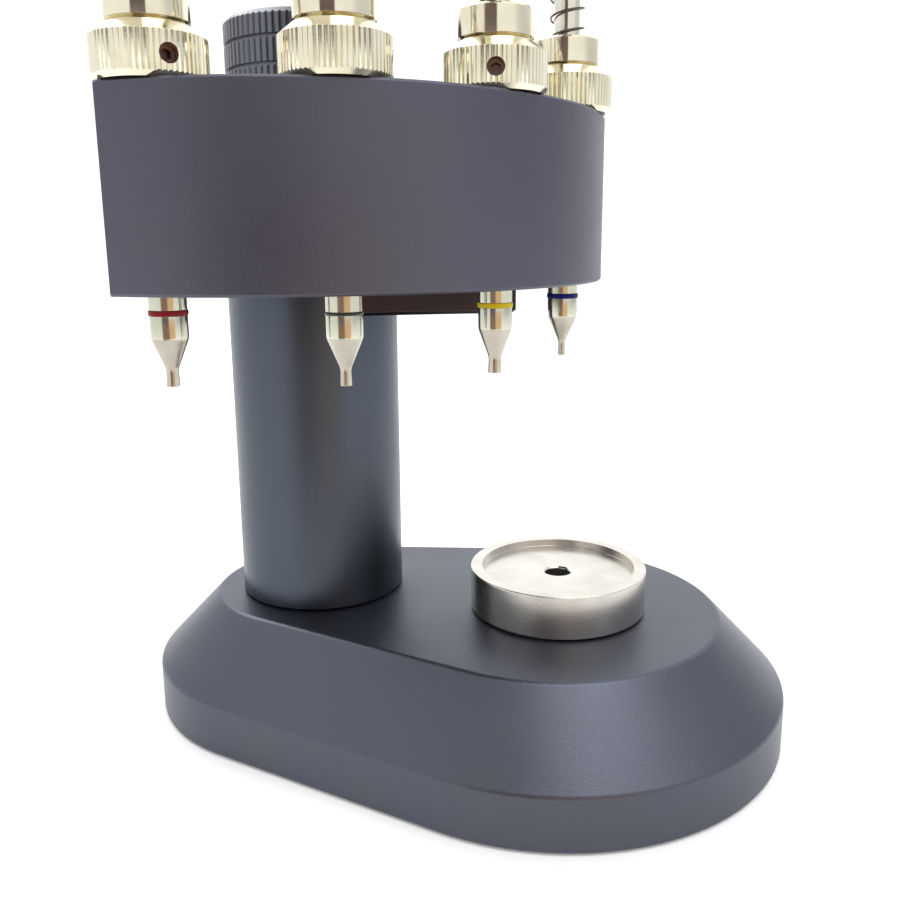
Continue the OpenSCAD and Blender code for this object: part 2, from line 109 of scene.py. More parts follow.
class Graph:
    """A node graph, with short calls for the nodes that the finishes share."""

    def __init__(self, owner: Material | bpy.types.World, space: str = "Object") -> None:
        """Starts an empty graph.

        Args:
            owner: The material or the surroundings that it draws.
            space: Kind of coordinates that its patterns follow.
        """
        owner.use_nodes = True
        self.owner = owner
        self.tree = owner.node_tree
        self.tree.nodes.clear()
        self.coordinates = self.node("ShaderNodeTexCoord").outputs[space]

    def node(self, kind: str, **settings: object) -> bpy.types.Node:
        """Adds one node.

        Args:
            kind: Type of the node.
            settings: Its properties, by name.

        Returns:
            The new node.
        """
        made = self.tree.nodes.new(kind)
        for key, value in settings.items():
            setattr(made, key, value)
        return made

    def link(self, source: Socket, target: Socket) -> None:
        """Joins two sockets.

        Args:
            source: Output that the value comes from.
            target: Input that it goes to.
        """
        self.tree.links.new(source, target)

    def feed(self, target: Socket, value: Socket | Colour | float) -> None:
        """Gives an input its value.

        Args:
            target: The input.
            value: Output of another node, a colour or a number.
        """
        if isinstance(value, Socket):
            self.link(value, target)
        elif isinstance(value, tuple):
            target.default_value = (*value, 1.0)
        else:
            target.default_value = value

    def place(self, centre: Vector, scale: Colour) -> Socket:
        """Object coordinates, centred on a point and stretched.

        Args:
            centre: Point that becomes the pattern's origin.
            scale: Stretch along each axis.

        Returns:
            The socket that carries the coordinates.
        """
        moved = self.node("ShaderNodeMapping", vector_type="POINT")
        moved.inputs["Location"].default_value = [-c * s for c, s in zip(centre, scale)]
        moved.inputs["Scale"].default_value = scale
        self.link(self.coordinates, moved.inputs["Vector"])
        return moved.outputs["Vector"]

    def noise(self, scale: float, detail: float = 2.0, where: Socket | None = None) -> Socket:
        """Cloudy noise.

        Args:
            scale: Clouds per metre.
            detail: Number of finer layers.
            where: Coordinates, if they aren't the object's own.

        Returns:
            The noise's value, from 0 to 1.
        """
        made = self.node("ShaderNodeTexNoise", noise_dimensions="3D")
        made.inputs["Scale"].default_value = scale
        made.inputs["Detail"].default_value = detail
        self.link(where or self.coordinates, made.inputs["Vector"])
        return made.outputs["Fac"]

    def spread(self, value: Socket, low: float, high: float, start: float = 0.3, end: float = 0.7) -> Socket:
        """Maps a value's middle range to another range.

        Args:
            value: Value to map.
            low: Result at the start of the range.
            high: Result at its end.
            start: Where the range starts.
            end: Where it ends.

        Returns:
            The mapped value.
        """
        made = self.node("ShaderNodeMapRange", clamp=True)
        made.inputs["From Min"].default_value = start
        made.inputs["From Max"].default_value = end
        made.inputs["To Min"].default_value = low
        made.inputs["To Max"].default_value = high
        self.link(value, made.inputs["Value"])
        return made.outputs["Result"]

    def math(self, kind: str, first: Socket, second: Socket | float) -> Socket:
        """Works out one sum.

        Args:
            kind: Kind of sum, such as ADD or MULTIPLY.
            first: First value.
            second: Second value, or a number.

        Returns:
            The result.
        """
        made = self.node("ShaderNodeMath", operation=kind)
        self.link(first, made.inputs[0])
        self.feed(made.inputs[1], second)
        return made.outputs["Value"]

    def mix(self, share: Socket, first: Socket | Colour, second: Colour, blend: str = "MIX") -> Socket:
        """Mixes two colours.

        Args:
            share: Share of the second colour.
            first: First colour.
            second: Second colour.
            blend: MIX to go from one to the other, ADD to put the second on top.

        Returns:
            The colour.
        """
        made = self.node("ShaderNodeMix", data_type="RGBA", blend_type=blend)
        self.link(share, made.inputs["Factor"])
        for target, colour in zip([s for s in made.inputs if s.type == "RGBA"], (first, second)):
            self.feed(target, colour)
        return next(s for s in made.outputs if s.type == "RGBA")

    def worn_edges(self, radius: float) -> Socket:
        """How near a point is to an outer edge, from 0 on a face to 1 on an edge.

        Args:
            radius: Width of the worn strip, in metres.

        Returns:
            The share of wear.
        """
        product = self.node("ShaderNodeVectorMath", operation="DOT_PRODUCT")
        self.link(self.rounded(radius), product.inputs[0])
        self.link(self.node("ShaderNodeNewGeometry").outputs["Normal"], product.inputs[1])
        return self.spread(product.outputs["Value"], 1.0, 0.0, 0.9, 0.999)

    def rounded(self, radius: float) -> Socket:
        """Direction of the surface with its sharp edges rounded off.

        Args:
            radius: Radius of the rounding, in metres.

        Returns:
            The normal.
        """
        made = self.node("ShaderNodeBevel", samples=4)
        made.inputs["Radius"].default_value = radius
        return made.outputs["Normal"]

    def bump(self, height: Socket, depth: float, under: Socket | None = None) -> Socket:
        """Turns a height from 0 to 1 into relief.

        Args:
            height: The height.
            depth: Depth of the relief, in metres.
            under: Relief that lies under this one.

        Returns:
            The normal.
        """
        made = self.node("ShaderNodeBump")
        made.inputs["Strength"].default_value = 1.0
        made.inputs["Distance"].default_value = depth
        self.link(height, made.inputs["Height"])
        if under is not None:
            self.link(under, made.inputs["Normal"])
        return made.outputs["Normal"]

    def surface(self, metallic: float, **sockets: Socket | Colour | float) -> Material:
        """Adds the shader and the output.

        Args:
            metallic: 1 for bare or anodised metal, 0 for anything else.
            sockets: The shader's other inputs by name, with a space written as an underscore.

        Returns:
            The finished material.
        """
        shader = self.node("ShaderNodeBsdfPrincipled")
        shader.inputs["Metallic"].default_value = metallic
        for key, value in sockets.items():
            self.feed(shader.inputs[key.replace("_", " ")], value)
        output = self.node("ShaderNodeOutputMaterial")
        self.link(shader.outputs["BSDF"], output.inputs["Surface"])
        return self.owner


# ---- Finishes ----


@dataclass(frozen=True)
class Finish:
    """What every finish has: a name, and the two colours that it wanders between."""

    name: str
    colour: Colour
    second: Colour


@dataclass(frozen=True)
class Anodised(Finish):
    """Aluminium that is bead-blasted or fine-turned, and anodised a dark blue-grey."""

    roughness: float = 0.40
    cloud_scale: float = 55.0
    grain: float = 0.00030
    grain_depth: float = 0.000025
    line_depth: float = 0.0
    line_pitch: float = 0.0003
    edge_r: float = 0.00012
    wear_width: float = 0.00025
    wear_share: float = 0.35
    bare_metal: Colour = (0.16, 0.16, 0.17)

    def material(self) -> Material:
        """Builds the material.

        Returns:
            The material.
        """
        graph = Graph(bpy.data.materials.new(self.name))
        cloud = graph.noise(self.cloud_scale, 3.0)
        grain = graph.noise(1.0 / self.grain, 2.0)
        edge = graph.worn_edges(self.wear_width)
        mottle = graph.math("ADD", graph.spread(cloud, 0.0, 0.7), graph.spread(grain, 0.0, 0.3))
        dye = graph.mix(mottle, self.colour, self.second)
        worn = graph.math("MULTIPLY", edge, self.wear_share)
        colour = graph.mix(worn, dye, self.bare_metal, "ADD")
        rough = graph.math(
            "ADD",
            graph.spread(cloud, self.roughness - 0.03, self.roughness + 0.04),
            graph.spread(grain, -0.04, 0.05),
        )
        relief = graph.bump(grain, self.grain_depth, graph.rounded(self.edge_r))
        if self.line_depth > 0:
            lines = graph.noise(1.0, 2.0, graph.place(Vector(), (40.0, 40.0, 1.0 / self.line_pitch)))
            relief = graph.bump(lines, self.line_depth, relief)
        return graph.surface(1.0, Base_Color=colour, Roughness=rough, Normal=relief)


@dataclass(frozen=True)
class BrightMetal(Finish):
    """Turned and polished metal, with fine tool marks, faint smears and brighter edges."""

    roughness: float = 0.14
    smear: float = 0.08
    mark_depth: float = 0.0000006
    mark_pitch: float = 0.00012
    mark_stretch: float = 30.0
    cloud_scale: float = 260.0
    grain_scale: float = 9000.0
    grain_depth: float = 0.0000005
    edge_r: float = 0.00005

    def material(self) -> Material:
        """Builds the material.

        Returns:
            The material.
        """
        graph = Graph(bpy.data.materials.new(self.name))
        cloud = graph.noise(self.cloud_scale, 3.0)
        stretch = (self.mark_stretch, self.mark_stretch, 1.0 / self.mark_pitch)
        marks = graph.noise(1.0, 2.0, graph.place(Vector(), stretch))
        grain = graph.noise(self.grain_scale, 1.0)
        colour = graph.mix(graph.spread(cloud, 0.0, 1.0, 0.35, 0.75), self.colour, self.second)
        rough = graph.math(
            "ADD",
            graph.spread(cloud, self.roughness, self.roughness + self.smear, 0.4, 0.75),
            graph.spread(marks, -0.02, 0.03),
        )
        relief = graph.bump(grain, self.grain_depth, graph.rounded(self.edge_r))
        relief = graph.bump(marks, self.mark_depth, relief)
        return graph.surface(1.0, Base_Color=colour, Roughness=rough, Normal=relief)


@dataclass(frozen=True)
class FacedSteel(Finish):
    """Stainless steel faced on a lathe: rings round one axis on top, fine lines on the side."""

    centre: Vector
    roughness: float = 0.22
    ring_pitch: float = 0.00022
    ring_depth: float = 0.0000022
    side_stretch: Colour = (60.0, 60.0, 7000.0)
    side_share: float = 0.6
    cloud_scale: float = 160.0
    pit_scale: float = 420.0
    pit_depth: float = 0.000003
    edge_r: float = 0.00008

    def material(self) -> Material:
        """Builds the material.

        Returns:
            The material.
        """
        graph = Graph(bpy.data.materials.new(self.name))
        where = graph.place(self.centre, (1.0, 1.0, 1.0))
        length = graph.node("ShaderNodeVectorMath", operation="LENGTH")
        flat = graph.node("ShaderNodeVectorMath", operation="MULTIPLY")
        flat.inputs[1].default_value = (1.0, 1.0, 0.0)
        graph.link(where, flat.inputs[0])
        graph.link(flat.outputs["Vector"], length.inputs[0])
        radius = graph.node("ShaderNodeCombineXYZ")
        graph.link(graph.math("DIVIDE", length.outputs["Value"], self.ring_pitch), radius.inputs["X"])
        rings = graph.noise(1.0, 3.0, radius.outputs["Vector"])
        lines = graph.noise(1.0, 3.0, graph.place(self.centre, self.side_stretch))
        cloud = graph.noise(self.cloud_scale, 4.0)
        pits = graph.node("ShaderNodeTexVoronoi", feature="F1")
        pits.inputs["Scale"].default_value = self.pit_scale
        graph.link(graph.coordinates, pits.inputs["Vector"])
        pit = graph.spread(pits.outputs["Distance"], 0.0, 1.0, 0.05, 0.09)
        colour = graph.mix(graph.spread(cloud, 0.0, 1.0), self.colour, self.second)
        rough = graph.math(
            "ADD",
            graph.spread(cloud, self.roughness - 0.04, self.roughness + 0.08),
            graph.spread(rings, -0.04, 0.05),
        )
        relief = graph.bump(pit, self.pit_depth, graph.rounded(self.edge_r))
        relief = graph.bump(rings, self.ring_depth, relief)
        relief = graph.bump(lines, self.ring_depth * self.side_share, relief)
        return graph.surface(1.0, Base_Color=colour, Roughness=rough, Normal=relief)


@dataclass(frozen=True)
class DullFinish(Finish):
    """Rubber, enamel or black oxide: one colour with fine grain and a little unevenness."""

    roughness: float
    metallic: float = 0.0
    shine: float = 0.5
    cloud_scale: float = 300.0
    grain: float = 0.0003
    grain_depth: float = 0.000004

    def material(self) -> Material:
        """Builds the material.

        Returns:
            The material.
        """
        graph = Graph(bpy.data.materials.new(self.name))
        cloud = graph.noise(self.cloud_scale, 3.0)
        grain = graph.noise(1.0 / self.grain, 2.0)
        colour = graph.mix(graph.spread(cloud, 0.0, 1.0), self.colour, self.second)
        rough = graph.math(
            "ADD",
            graph.spread(cloud, self.roughness - 0.04, self.roughness + 0.05),
            graph.spread(grain, -0.03, 0.04),
        )
        return graph.surface(
            self.metallic, Base_Color=colour, Roughness=rough, Specular_IOR_Level=self.shine,
            Normal=graph.bump(grain, self.grain_depth),
        )


class Finishes:
    """Every finish on the press, built once and handed to the pieces by slot name."""

    BLUE_GREY: Colour = (0.089, 0.099, 0.126)
    BLUE_GREY_WARM: Colour = (0.100, 0.104, 0.126)
    TEAL_GREY: Colour = (0.068, 0.082, 0.102)
    PURPLE_GREY: Colour = (0.096, 0.093, 0.126)

    def __init__(self, holder_axis: Vector) -> None:
        """Builds the materials.

        Args:
            holder_axis: Point on the movement holder's axis.
        """
        kinds = (
            Anodised("anodised_aluminium", self.BLUE_GREY, self.BLUE_GREY_WARM),
            Anodised("column_anodised", self.TEAL_GREY, (0.078, 0.086, 0.106), roughness=0.36),
            Anodised("turned_anodised_aluminium", self.PURPLE_GREY, self.BLUE_GREY_WARM,
                     roughness=0.46, line_depth=0.0000012),
            Anodised("dark_anodised_aluminium", (0.040, 0.034, 0.040), (0.052, 0.043, 0.049),
                     roughness=0.34, line_depth=0.0000010),
            Anodised("knob_anodised", (0.125, 0.132, 0.152), (0.138, 0.142, 0.160), roughness=0.30,
                     grain_depth=0.000004),
            FacedSteel("stainless_steel", (0.65, 0.63, 0.58), (0.56, 0.53, 0.48), holder_axis),
            BrightMetal("nickel_plate", (0.78, 0.73, 0.57), (0.69, 0.63, 0.46), roughness=0.09),
            BrightMetal("polished_steel", (0.72, 0.69, 0.60), (0.62, 0.59, 0.50), roughness=0.10),
            BrightMetal("shaft_steel", (0.56, 0.56, 0.46), (0.48, 0.47, 0.38), roughness=0.13),
            BrightMetal("satin_steel", (0.46, 0.43, 0.37), (0.38, 0.35, 0.29), roughness=0.23,
                        mark_depth=0.0000015),
            BrightMetal("screw_steel", (0.12, 0.068, 0.055), (0.07, 0.042, 0.036), roughness=0.30),
            BrightMetal("turned_steel", (0.56, 0.55, 0.53), (0.48, 0.47, 0.45), roughness=0.28,
                        mark_depth=0.000002),
            BrightMetal("spring_steel", (0.12, 0.10, 0.085), (0.08, 0.07, 0.06), roughness=0.28),
            BrightMetal("bronze", (0.52, 0.35, 0.16), (0.42, 0.27, 0.12), roughness=0.30),
            DullFinish("black_steel", (0.035, 0.032, 0.033), (0.022, 0.020, 0.022), 0.38, 0.8),
            DullFinish("pad_rubber", (0.022, 0.022, 0.023), (0.030, 0.029, 0.029), 0.80,
                       grain_depth=0.00003),
            DullFinish("band_blue", (0.003, 0.004, 0.14), (0.003, 0.004, 0.10), 0.35, shine=0.15),
            DullFinish("band_yellow", (0.58, 0.44, 0.008), (0.47, 0.35, 0.008), 0.35, shine=0.15),
            DullFinish("band_black", (0.010, 0.010, 0.010), (0.018, 0.017, 0.016), 0.34),
            DullFinish("band_red", (0.24, 0.010, 0.016), (0.17, 0.008, 0.012), 0.35, shine=0.15),
        )
        self._made = {kind.name: kind.material() for kind in kinds}

    def __getitem__(self, name: str) -> Material:
        """Looks a finish up.

        Args:
            name: Name of the finish.

        Returns:
            Its material.
        """
        return self._made[name]

    def dress_node(self, node: str, name: str) -> None:
        """Gives one of the frame's own meshes a finish.

        Args:
            node: Name of the node.
            name: Name of the finish.
        """
        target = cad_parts[node]
        for slot in target.material_slots:
            slot.material = self[name]
        log.info("dressed %s in %s", node, name)


# ---- Mesh tools ----


@dataclass(frozen=True)
class Corner:
    """One corner of a turned outline: radius, height, and how far it is rounded off."""

    r: float
    z: float
    soft: float = 0.0


class Workshop:
    """The operations that the pieces share: turning, finishing and placing."""

    @staticmethod
    def outline(sheet: Sheet, corners: Sequence[Corner], closed: bool) -> None:
        """Draws a turned outline in the XZ plane, with its corners rounded.

        Args:
            sheet: Mesh to draw in.
            corners: The corners in order.
            closed: Whether the last corner joins the first.
        """
        points = [sheet.verts.new((c.r, 0.0, c.z)) for c in corners]
        for first, second in zip(points, points[1:]):
            sheet.edges.new((first, second))
        if closed:
            sheet.edges.new((points[-1], points[0]))
        for point, corner in zip(points, corners):
            if corner.soft > 0:
                bmesh.ops.bevel(
                    sheet, geom=[point], offset=corner.soft, offset_type="OFFSET", segments=CORNER_STEPS,
                    profile=0.5, affect="VERTICES", material=-1,
                )

    @classmethod
    def turned(
        cls, corners: Sequence[Corner], centre: Vector, steps: int = 128, closed: bool = False
    ) -> Sheet:
        """Turns an outline about an upright axis.

        Args:
            corners: The outline, from one end to the other.
            centre: Point on the axis.
            steps: Steps in a full turn.
            closed: Whether the outline is a closed loop.

        Returns:
            The turned mesh.
        """
        sheet = bmesh.new()
        cls.outline(sheet, corners, closed)
        bmesh.ops.spin(
            sheet, geom=sheet.verts[:] + sheet.edges[:], cent=(0, 0, 0), axis=(0, 0, 1), dvec=(0, 0, 0),
            angle=math.tau, steps=steps, use_merge=True, use_duplicate=False,
        )
        bmesh.ops.remove_doubles(sheet, verts=sheet.verts, dist=MERGE)
        bmesh.ops.recalc_face_normals(sheet, faces=sheet.faces)
        bmesh.ops.translate(sheet, verts=sheet.verts, vec=centre)
        return sheet

    @staticmethod
    def thing(sheet: Sheet, name: str, *materials: Material) -> bpy.types.Object:
        """Turns a mesh into an object in the scene.

        Args:
            sheet: The mesh, which is freed.
            name: Name of the object.
            materials: Its materials.

        Returns:
            The object.
        """
        mesh = bpy.data.meshes.new(name)
        sheet.to_mesh(mesh)
        sheet.free()
        for material in materials:
            mesh.materials.append(material)
        made = bpy.data.objects.new(name, mesh)
        bpy.context.scene.collection.objects.link(made)
        return made

    @classmethod
    def piece(
        cls, sheet: Sheet, name: str, body: str, slot: str, node: str, *materials: Material,
        weighted: bool = True,
    ) -> bpy.types.Object:
        """Finishes a worked mesh and puts it on its body in place of one of the frame's nodes.

        Args:
            sheet: The mesh, which is freed.
            name: Name of the piece.
            body: Body that it moves with.
            slot: Material slot in the record; not used.
            node: Node that it stands for.
            materials: Its finishes.
            weighted: Whether large faces keep their own direction beside small ones.

        Returns:
            The piece.
        """
        made = cls.thing(sheet, name, *materials)
        mesh = made.data
        mesh.polygons.foreach_set("use_smooth", [True] * len(mesh.polygons))
        mesh.set_sharp_from_angle(angle=SOFT_ANGLE)
        if weighted:
            shading = made.modifiers.new("weighted_normal", "WEIGHTED_NORMAL")
            shading.keep_sharp = True
        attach(made, body)
        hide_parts(node)
        log.info("built %s with %d faces", name, len(mesh.polygons))
        return made


# ---- Sub-assemblies ----


@dataclass
class Base:
    """The base with its sloping shoulder, and the pad let into its underside."""

    rear_x: float = 0.6 * MM
    wall_h: float = 8.8 * MM
    slope_w: float = 11.2 * MM
    pad_margin: float = 3.5 * MM
    pad_gap: float = 0.1 * MM
    foot_edge: float = 0.5 * MM
    wall_edge: float = 0.45 * MM
    top_edge: float = 0.5 * MM
    pad_edge: float = 0.1 * MM
    spigot_r: float = 6.05 * MM
    spigot_depth: float = 5.4 * MM
    arc_steps: int = 120
    low: Vector = field(init=False)
    high: Vector = field(init=False)

    def __post_init__(self) -> None:
        """Reads the base's box from the frame."""
        self.low, self.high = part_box("base")

    @property
    def front_r(self) -> float:
        """Radius of the front round."""
        return self.high.y

    @property
    def rear_r(self) -> float:
        """Radius of the rear round."""
        return self.rear_x - self.low.x

    @property
    def front_x(self) -> float:
        """Where the front round's centre stands."""
        return self.high.x - self.front_r

    def egg(self, sheet: Sheet, margin: float, z: float) -> bmesh.types.BMFace:
        """Draws the base's outline: two rounds and the straight sides that touch both.

        Args:
            sheet: Mesh to draw in.
            margin: How far inside the side wall the outline runs.
            z: Its height.

        Returns:
            The face inside the outline.
        """
        tangent = self.tilt()
        ring = []
        for x, r, start, sweep in (
            (self.front_x, self.front_r, -tangent, 2 * tangent),
            (self.rear_x, self.rear_r, tangent, math.tau - 2 * tangent),
        ):
            r -= margin
            first = sheet.verts.new((x + r * math.cos(start), r * math.sin(start), z))
            before = set(sheet.verts)
            bmesh.ops.spin(
                sheet, geom=[first], cent=(x, 0, z), axis=(0, 0, 1), dvec=(0, 0, 0), angle=sweep,
                steps=self.arc_steps, use_merge=False, use_duplicate=False,
            )
            ring += [first] + [v for v in sheet.verts if v not in before]
        return sheet.faces.new(ring)

    @staticmethod
    def raised(sheet: Sheet, face: bmesh.types.BMFace, by: float) -> bmesh.types.BMFace:
        """Extrudes a face upright.

        Args:
            sheet: The mesh.
            face: Face to extrude.
            by: How far, upwards.

        Returns:
            The face at the far end.
        """
        made = bmesh.ops.extrude_face_region(sheet, geom=[face])["geom"]
        moved = [g for g in made if isinstance(g, bmesh.types.BMVert)]
        bmesh.ops.translate(sheet, verts=moved, vec=(0, 0, by))
        return next(g for g in made if isinstance(g, bmesh.types.BMFace))

    def body(self) -> Sheet:
        """Models the base.

        Returns:
            The mesh of the base, with the pad's recess and the holder's bore.
        """
        sheet = bmesh.new()
        bottom = self.egg(sheet, 0.0, self.low.z)
        top = self.raised(sheet, bottom, self.wall_h)
        bmesh.ops.recalc_face_normals(sheet, faces=sheet.faces)
        rise = self.high.z - self.low.z - self.wall_h
        bmesh.ops.inset_region(
            sheet, faces=[top], thickness=self.slope_w, depth=0.0, use_even_offset=True, use_boundary=True
        )
        bmesh.ops.translate(sheet, verts=top.verts[:], vec=(0, 0, rise))
        under = next(f for f in sheet.faces if f.normal.z < -0.9)
        bmesh.ops.inset_region(
            sheet, faces=[under], thickness=self.pad_margin - self.pad_gap, depth=0.0,
            use_even_offset=True, use_boundary=True,
        )
        pad_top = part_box("base_pad")[1].z
        self.raised(sheet, under, pad_top - self.low.z)
        self.soften(sheet)
        self.open_holder_bore(sheet)
        bmesh.ops.recalc_face_normals(sheet, faces=sheet.faces)
        return sheet

    def soften(self, sheet: Sheet) -> None:
        """Rounds the foot, the top of the wall and the edge of the platform.

        Args:
            sheet: Mesh of the base.
        """
        levels = (
            (self.low.z, self.foot_edge, self.pad_margin / 2),
            (self.low.z + self.wall_h, self.wall_edge, 0.0),
            (self.high.z, self.top_edge, 0.0),
        )
        for z, amount, margin in levels:
            edges = [
                e for e in sheet.edges
                if all(abs(v.co.z - z) < MERGE for v in e.verts)
                and len(e.link_faces) == 2
                and abs(e.link_faces[0].normal.dot(e.link_faces[1].normal)) < 0.95
                and (margin == 0.0 or self.outside(e.verts[0].co, margin))
            ]
            bmesh.ops.bevel(
                sheet, geom=edges, offset=amount, offset_type="OFFSET", segments=CORNER_STEPS,
                profile=0.5, affect="EDGES", material=-1,
            )

    def outside(self, point: Vector, margin: float) -> bool:
        """Tells the outer edge at the foot from the edge of the pad's recess.

        Args:
            point: Point at the foot.
            margin: How far inside the side wall the limit between them runs.

        Returns:
            Whether the point is on the outer edge.
        """
        front = (point.xy - Vector((self.front_x, 0))).length - (self.front_r - margin)
        rear = (point.xy - Vector((self.rear_x, 0))).length - (self.rear_r - margin)
        side = abs(point.y) * math.sin(self.tilt()) + point.x * math.cos(self.tilt())
        edge = self.rear_x * math.cos(self.tilt()) + self.rear_r - margin
        return max(min(front, rear), side - edge) > 0

    def tilt(self) -> float:
        """Finds the direction in which the straight sides face.

        Returns:
            The angle from +X.
        """
        return math.acos((self.rear_r - self.front_r) / (self.front_x - self.rear_x))

    def open_holder_bore(self, sheet: Sheet) -> None:
        """Cuts the bore that the movement holder's spigot drops into.

        Args:
            sheet: Mesh of the base.
        """
        centre = Matrix.Translation(axis_of("movement_holder", self.high.z))
        top = max((f for f in sheet.faces if f.normal.z > 0.9), key=lambda f: f.calc_area())
        rim = top.edges[:]
        bmesh.ops.delete(sheet, geom=[top], context="FACES_ONLY")
        mouth = bmesh.ops.create_circle(
            sheet, cap_ends=False, segments=96, radius=self.spigot_r, matrix=centre
        )["verts"]
        mouth_edges = list({e for v in mouth for e in v.link_edges})
        wall = bmesh.ops.extrude_edge_only(sheet, edges=mouth_edges)["geom"]
        floor = [g for g in wall if isinstance(g, bmesh.types.BMVert)]
        bmesh.ops.translate(sheet, verts=floor, vec=(0, 0, -self.spigot_depth))
        edges = [g for g in wall if isinstance(g, bmesh.types.BMEdge)]
        bmesh.ops.edgeloop_fill(sheet, edges=[e for e in edges if all(v in floor for v in e.verts)])
        bmesh.ops.triangle_fill(sheet, edges=rim + mouth_edges, use_beauty=True, use_dissolve=False)

    def pad(self) -> Sheet:
        """Models the pad.

        Returns:
            The mesh of the pad.
        """
        low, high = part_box("base_pad")
        sheet = bmesh.new()
        bottom = self.egg(sheet, self.pad_margin, low.z)
        self.raised(sheet, bottom, high.z - low.z)
        bmesh.ops.recalc_face_normals(sheet, faces=sheet.faces)
        edges = [e for e in sheet.edges if abs(e.verts[0].co.z - e.verts[1].co.z) < MERGE]
        bmesh.ops.bevel(
            sheet, geom=edges, offset=self.pad_edge, offset_type="OFFSET", segments=2, profile=0.5,
            affect="EDGES", material=-1,
        )
        return sheet

    def build(self, finishes: Finishes) -> None:
        """Builds the base and its pad.

        Args:
            finishes: The finishes.
        """
        for sheet, name, slot, node in (
            (self.body(), "base_body", "anodised_aluminium", "base"),
            (self.pad(), "foot_pad", "pad_rubber", "base_pad"),
        ):
            Workshop.piece(sheet, name, "stand", slot, node, finishes[slot])


@dataclass
class MovementHolder:
    """The round holder with a shallow recess for a movement."""

    seat_r: float = 13.4 * MM
    seat_depth: float = 1.3 * MM
    hole_r: float = 2.2 * MM
    countersink: float = 0.3 * MM
    spigot_r: float = 6.0 * MM
    foot: float = 0.4 * MM
    rim: float = 0.25 * MM
    seat_z: float = 20.75 * MM
    fine_edge: float = 0.05 * MM
    mouth_edge: float = 0.06 * MM
    inner_rim: float = 0.08 * MM
    bore_edge: float = 0.1 * MM
    foot_edge: float = 0.15 * MM

    def corners(self) -> list[Corner]:
        """Draws the holder's outline.

        Returns:
            Its corners, as a closed loop.
        """
        low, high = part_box("movement_holder")
        r = (high.x - low.x) / 2
        floor = high.z - self.seat_depth
        return [
            Corner(self.hole_r, low.z, self.bore_edge),
            Corner(self.spigot_r, low.z, self.foot),
            Corner(self.spigot_r, self.seat_z),
            Corner(r - self.foot, self.seat_z, self.fine_edge),
            Corner(r, self.seat_z + self.foot, self.foot_edge),
            Corner(r, high.z, self.rim),
            Corner(self.seat_r, high.z, self.inner_rim),
            Corner(self.seat_r, floor, self.fine_edge),
            Corner(self.hole_r + self.countersink, floor, self.mouth_edge),
            Corner(self.hole_r, floor - self.countersink, self.mouth_edge),
        ]

    def build(self, finishes: Finishes) -> None:
        """Builds the movement holder.

        Args:
            finishes: The finishes.
        """
        sheet = Workshop.turned(self.corners(), axis_of("movement_holder"), steps=160, closed=True)
        steel = "stainless_steel"
        Workshop.piece(sheet, "movement_rest", "holder", steel, "movement_holder", finishes[steel])


@dataclass
class CoilSpring:
    """A spring of round wire with closed end turns."""

    node: str
    body: str
    joint: str
    wire_d: float
    coils: int
    start: float = math.radians(206)
    steps: int = 36
    sides: int = 10
    clear: float = 0.01 * MM

    @classmethod
    def of_station(cls, station: Station) -> "CoilSpring":
        """The return spring of one station, which stands on its depth ring's collar.

        Args:
            station: The station.

        Returns:
            The spring.
        """
        return cls(station.node("spring"), "turret", station.node("press"), 0.33 * MM, 15)

    @classmethod
    def of_detent(cls) -> "CoilSpring":
        """The small spring under the detent ball.

        Returns:
            The spring.
        """
        return cls("detent_spring", "stand", "detent_press", 0.2 * MM, 4)

    def sheet(self) -> Sheet:
        """Models the coil: one closed turn at each end, and open turns between them.

        Returns:
            The mesh of the coil.
        """
        low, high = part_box(self.node)
        wire_r = self.wire_d / 2
        mean_r = (high.x - low.x) / 2 - wire_r
        closed = self.wire_d * 1.05
        free = (high.z - low.z - 2 * self.clear - self.wire_d - 2 * closed) / (self.coils - 2)
        made = bmesh.new()
        start = Matrix.Translation((mean_r, 0, wire_r)) @ Matrix.Rotation(math.pi / 2, 4, "X")
        section = bmesh.ops.create_circle(
            made, cap_ends=False, segments=self.sides, radius=wire_r, matrix=start
        )["verts"]
        first_ring = list({e for v in section for e in v.link_edges})
        geometry = section + first_ring
        for turns, pitch in ((1, closed), (self.coils - 2, free), (1, closed)):
            geometry = bmesh.ops.spin(
                made, geom=geometry, cent=(0, 0, 0), axis=(0, 0, 1), dvec=(0, 0, pitch / self.steps),
                angle=math.tau * turns, steps=self.steps * turns, use_merge=False, use_duplicate=False,
            )["geom_last"]
        last_ring = [g for g in geometry if isinstance(g, bmesh.types.BMEdge)]
        bmesh.ops.edgeloop_fill(made, edges=first_ring)
        bmesh.ops.edgeloop_fill(made, edges=last_ring)
        bmesh.ops.recalc_face_normals(made, faces=made.faces)
        turn = Matrix.Rotation(self.start, 3, "Z")
        bmesh.ops.rotate(made, verts=made.verts, cent=(0, 0, 0), matrix=turn)
        bmesh.ops.translate(made, verts=made.verts, vec=axis_of(self.node, low.z + self.clear))
        return made

    def build(self, finishes: Finishes) -> None:
        """Builds the coil.

        Args:
            finishes: The finishes.
        """
        low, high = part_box(self.node)
        made = Workshop.piece(
            self.sheet(), f"{self.node}_coil", self.body, "spring_steel", self.node,
            finishes["spring_steel"], weighted=False,
        )
        foot = axis_of(self.node, low.z + self.clear)
        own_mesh(made)


